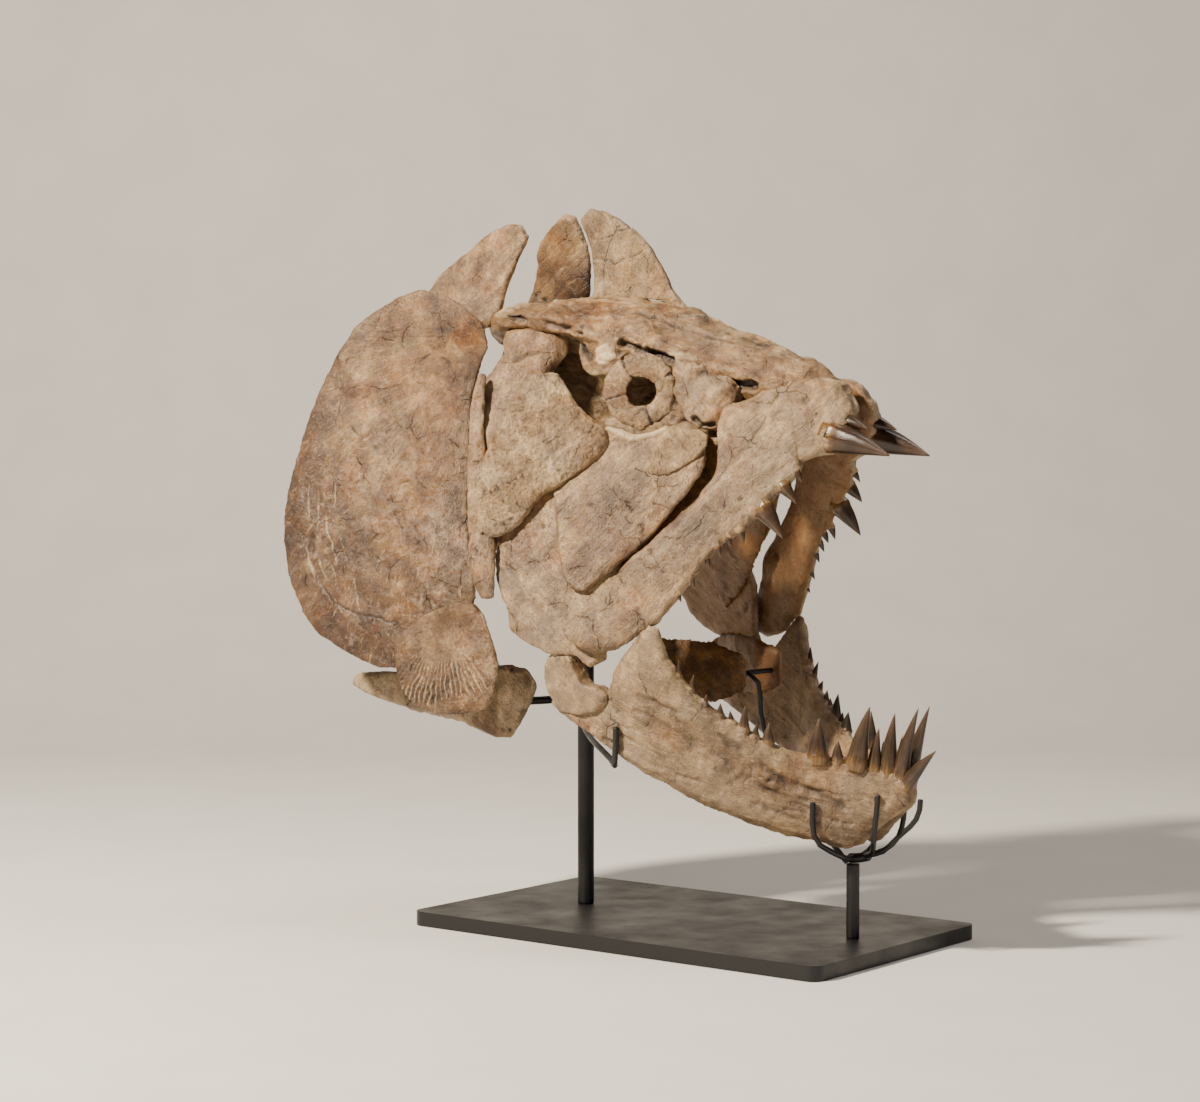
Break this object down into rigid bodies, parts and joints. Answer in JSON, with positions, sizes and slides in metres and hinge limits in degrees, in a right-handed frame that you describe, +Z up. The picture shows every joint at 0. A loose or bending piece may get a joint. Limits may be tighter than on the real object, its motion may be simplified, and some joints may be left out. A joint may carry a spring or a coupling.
{
  "type": "fossil fish skull on a display stand",
  "caption": "Life-size fossil skull of a large predatory fish, mouth agape with long fangs, on a flat steel base with slim posts and bent wires.",
  "frame": {"origin": "centre of the underside of the stand's base plate", "axes": "+X towards the snout, +Y to the animal's left, +Z up"},
  "size_m": [0.6722, 0.3421, 0.713],
  "materials": {
    "bone": "matt fossil bone with fine cracks and pits",
    "pale_bone": "matt pale fossil bone, granular",
    "dark_bone": "matt amber-brown fossil bone",
    "tooth": "glossy dark brown enamel",
    "steel": "satin black powder coat"
  },
  "bodies": {
    "root": {"neurocranium": "bone", "supraoccipital_crest": "pale_bone", "hyomandibula_right": "bone", "hyomandibula_left": "bone", "preopercle_right": "bone", "preopercle_left": "bone", "postorbital_right": "pale_bone", "postorbital_left": "pale_bone", "lateral_ethmoid_right": "bone", "lateral_ethmoid_left": "bone", "sclerotic_ring_right": "bone", "sclerotic_ring_left": "bone", "infraorbital_right": "bone", "infraorbital_left": "bone", "lacrimal_right": "pale_bone", "lacrimal_left": "pale_bone", "quadrate_right": "bone", "quadrate_left": "bone", "premaxilla_right": "bone", "premaxilla_left": "bone", "maxilla_right": "bone", "maxilla_left": "bone", "pterygoid_right": "dark_bone", "pterygoid_left": "dark_bone", "articular_right": "bone", "articular_left": "bone", "dentary_right": "bone", "dentary_left": "bone", "ceratohyal_right": "dark_bone", "ceratohyal_left": "dark_bone", "posttemporal_right": "bone", "posttemporal_left": "bone", "opercle_right": "bone", "subopercle_right": "bone", "cleithrum_right": "pale_bone", "stand_base": "steel", "stand_post_skull": "steel", "stand_post_jaw": "steel", "stand_jaw_fork": "steel", "stand_jaw_arm_right": "steel", "stand_jaw_arm_left": "steel", "stand_throat_rod": "steel", "stand_arm_cover": "steel", "stand_arm_girdle": "steel"}
  },
  "joints": []
}
